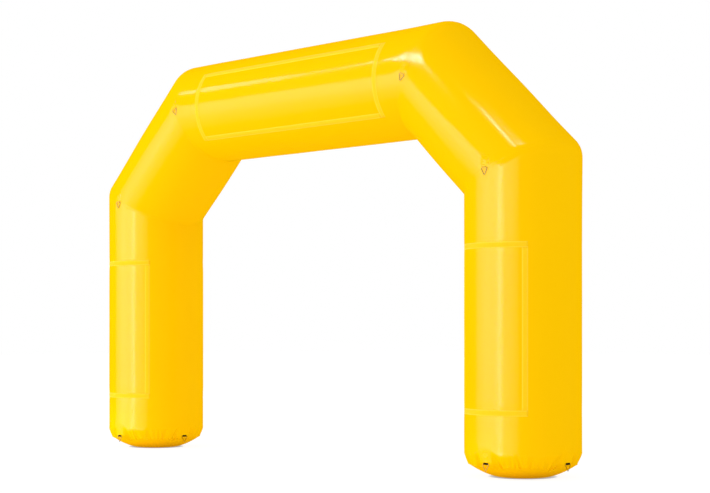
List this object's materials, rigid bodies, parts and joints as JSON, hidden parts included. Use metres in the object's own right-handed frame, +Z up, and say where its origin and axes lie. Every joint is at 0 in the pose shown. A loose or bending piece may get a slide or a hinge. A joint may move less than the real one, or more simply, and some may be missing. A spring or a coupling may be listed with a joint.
{
  "type": "inflatable advertising arch",
  "caption": "Freestanding airtight inflatable advertising arch: upright legs, slanted shoulders and a level beam, with hook-and-loop banner frames and guy rings.",
  "frame": {"origin": "on the floor, midway between the legs", "axes": "+Z up; +X from the left leg to the right leg as seen from the front; -Y out of the front face"},
  "size_m": [6.088, 1.0217, 3.9776],
  "materials": {
    "vinyl_skin": "gloss",
    "seam_tape": "satin",
    "loop_tape": "matte",
    "yellow_webbing": "satin",
    "black_webbing": "matte",
    "ring_steel": "polished",
    "spring_steel": "satin",
    "valve_plastic": "satin",
    "valve_rubber": "matte"
  },
  "bodies": {
    "arch": {"left_leg_tube": "vinyl_skin", "left_shoulder_tube": "vinyl_skin", "beam_tube": "vinyl_skin", "right_shoulder_tube": "vinyl_skin", "right_leg_tube": "vinyl_skin", "left_base_disc": "vinyl_skin", "right_base_disc": "vinyl_skin", "left_lower_seam_tape": "seam_tape", "left_upper_seam_tape": "seam_tape", "right_upper_seam_tape": "seam_tape", "right_lower_seam_tape": "seam_tape", "left_base_seam_tape": "seam_tape", "right_base_seam_tape": "seam_tape", "beam_front_banner_frame": "loop_tape", "beam_rear_banner_frame": "loop_tape", "left_leg_front_banner_frame": "loop_tape", "left_leg_rear_banner_frame": "loop_tape", "right_leg_front_banner_frame": "loop_tape", "right_leg_rear_banner_frame": "loop_tape", "left_lower_front_ring_tab": "yellow_webbing", "left_lower_rear_ring_tab": "yellow_webbing", "left_upper_front_ring_tab": "yellow_webbing", "left_upper_rear_ring_tab": "yellow_webbing", "right_upper_front_ring_tab": "yellow_webbing", "right_upper_rear_ring_tab": "yellow_webbing", "right_lower_front_ring_tab": "yellow_webbing", "right_lower_rear_ring_tab": "yellow_webbing", "left_base_front_ring_tab": "black_webbing", "left_base_outer_ring_tab": "black_webbing", "left_base_rear_ring_tab": "black_webbing", "left_base_inner_ring_tab": "black_webbing", "right_base_front_ring_tab": "black_webbing", "right_base_outer_ring_tab": "black_webbing", "right_base_rear_ring_tab": "black_webbing", "right_base_inner_ring_tab": "black_webbing", "inflation_valve_body": "valve_plastic", "inflation_valve_gasket": "valve_rubber", "inflation_valve_nut": "valve_plastic", "inflation_valve_spring": "spring_steel"},
    "left_lower_front_ring": {"left_lower_front_ring": "ring_steel"},
    "left_lower_rear_ring": {"left_lower_rear_ring": "ring_steel"},
    "left_upper_front_ring": {"left_upper_front_ring": "ring_steel"},
    "left_upper_rear_ring": {"left_upper_rear_ring": "ring_steel"},
    "right_upper_front_ring": {"right_upper_front_ring": "ring_steel"},
    "right_upper_rear_ring": {"right_upper_rear_ring": "ring_steel"},
    "right_lower_front_ring": {"right_lower_front_ring": "ring_steel"},
    "right_lower_rear_ring": {"right_lower_rear_ring": "ring_steel"},
    "left_base_front_ring": {"left_base_front_ring": "ring_steel"},
    "left_base_outer_ring": {"left_base_outer_ring": "ring_steel"},
    "left_base_rear_ring": {"left_base_rear_ring": "ring_steel"},
    "left_base_inner_ring": {"left_base_inner_ring": "ring_steel"},
    "right_base_front_ring": {"right_base_front_ring": "ring_steel"},
    "right_base_outer_ring": {"right_base_outer_ring": "ring_steel"},
    "right_base_rear_ring": {"right_base_rear_ring": "ring_steel"},
    "right_base_inner_ring": {"right_base_inner_ring": "ring_steel"},
    "valve_plunger": {"inflation_valve_plunger": "valve_plastic"},
    "valve_cap": {"inflation_valve_cap": "valve_plastic"}
  },
  "joints": [
    {"name": "left_lower_front_ring_swing", "type": "hinge", "parent": "arch", "child": "left_lower_front_ring", "pos_m": [-2.545, -0.50194, 2.595], "axis": [-1, 0, 0], "range_deg": [0, 160]},
    {"name": "left_lower_rear_ring_swing", "type": "hinge", "parent": "arch", "child": "left_lower_rear_ring", "pos_m": [-2.545, 0.50194, 2.595], "axis": [1, 0, 0], "range_deg": [0, 160]},
    {"name": "left_upper_front_ring_swing", "type": "hinge", "parent": "arch", "child": "left_upper_front_ring", "pos_m": [-1.595, -0.50194, 3.48], "axis": [-0.9305, 0, -0.3663], "range_deg": [0, 160]},
    {"name": "left_upper_rear_ring_swing", "type": "hinge", "parent": "arch", "child": "left_upper_rear_ring", "pos_m": [-1.595, 0.50194, 3.48], "axis": [0.9305, 0, 0.3663], "range_deg": [0, 160]},
    {"name": "right_upper_front_ring_swing", "type": "hinge", "parent": "arch", "child": "right_upper_front_ring", "pos_m": [1.595, -0.50194, 3.48], "axis": [-0.9305, 0, 0.3663], "range_deg": [0, 160]},
    {"name": "right_upper_rear_ring_swing", "type": "hinge", "parent": "arch", "child": "right_upper_rear_ring", "pos_m": [1.595, 0.50194, 3.48], "axis": [0.9305, 0, -0.3663], "range_deg": [0, 160]},
    {"name": "right_lower_front_ring_swing", "type": "hinge", "parent": "arch", "child": "right_lower_front_ring", "pos_m": [2.545, -0.50194, 2.595], "axis": [-1, 0, 0], "range_deg": [0, 160]},
    {"name": "right_lower_rear_ring_swing", "type": "hinge", "parent": "arch", "child": "right_lower_rear_ring", "pos_m": [2.545, 0.50194, 2.595], "axis": [1, 0, 0], "range_deg": [0, 160]},
    {"name": "left_base_front_ring_swing", "type": "hinge", "parent": "arch", "child": "left_base_front_ring", "pos_m": [-2.545, -0.48359, 0.13], "axis": [-1, 0, 0], "range_deg": [-25, 148]},
    {"name": "left_base_outer_ring_swing", "type": "hinge", "parent": "arch", "child": "left_base_outer_ring", "pos_m": [-3.0286, 0, 0.13], "axis": [0, 1, 0], "range_deg": [-25, 148]},
    {"name": "left_base_rear_ring_swing", "type": "hinge", "parent": "arch", "child": "left_base_rear_ring", "pos_m": [-2.545, 0.48359, 0.13], "axis": [1, 0, 0], "range_deg": [-25, 148]},
    {"name": "left_base_inner_ring_swing", "type": "hinge", "parent": "arch", "child": "left_base_inner_ring", "pos_m": [-2.06141, 0, 0.13], "axis": [0, -1, 0], "range_deg": [-25, 148]},
    {"name": "right_base_front_ring_swing", "type": "hinge", "parent": "arch", "child": "right_base_front_ring", "pos_m": [2.545, -0.48359, 0.13], "axis": [-1, 0, 0], "range_deg": [-25, 148]},
    {"name": "right_base_outer_ring_swing", "type": "hinge", "parent": "arch", "child": "right_base_outer_ring", "pos_m": [3.0286, 0, 0.13], "axis": [0, -1, 0], "range_deg": [-25, 148]},
    {"name": "right_base_rear_ring_swing", "type": "hinge", "parent": "arch", "child": "right_base_rear_ring", "pos_m": [2.545, 0.48359, 0.13], "axis": [1, 0, 0], "range_deg": [-25, 148]},
    {"name": "right_base_inner_ring_swing", "type": "hinge", "parent": "arch", "child": "right_base_inner_ring", "pos_m": [2.06141, 0, 0.13], "axis": [0, 1, 0], "range_deg": [-25, 148]},
    {"name": "valve_plunger_press", "type": "slide", "parent": "arch", "child": "valve_plunger", "axis": [0, -1, 0], "range_m": [0, 0.008], "stiffness_N_per_m": 500, "springref_m": -0.004, "deforming": ["inflation_valve_spring"]},
    {"name": "valve_cap_pull", "type": "slide", "parent": "arch", "child": "valve_cap", "axis": [0, 1, 0], "range_m": [0, 0.03]}
  ]
}
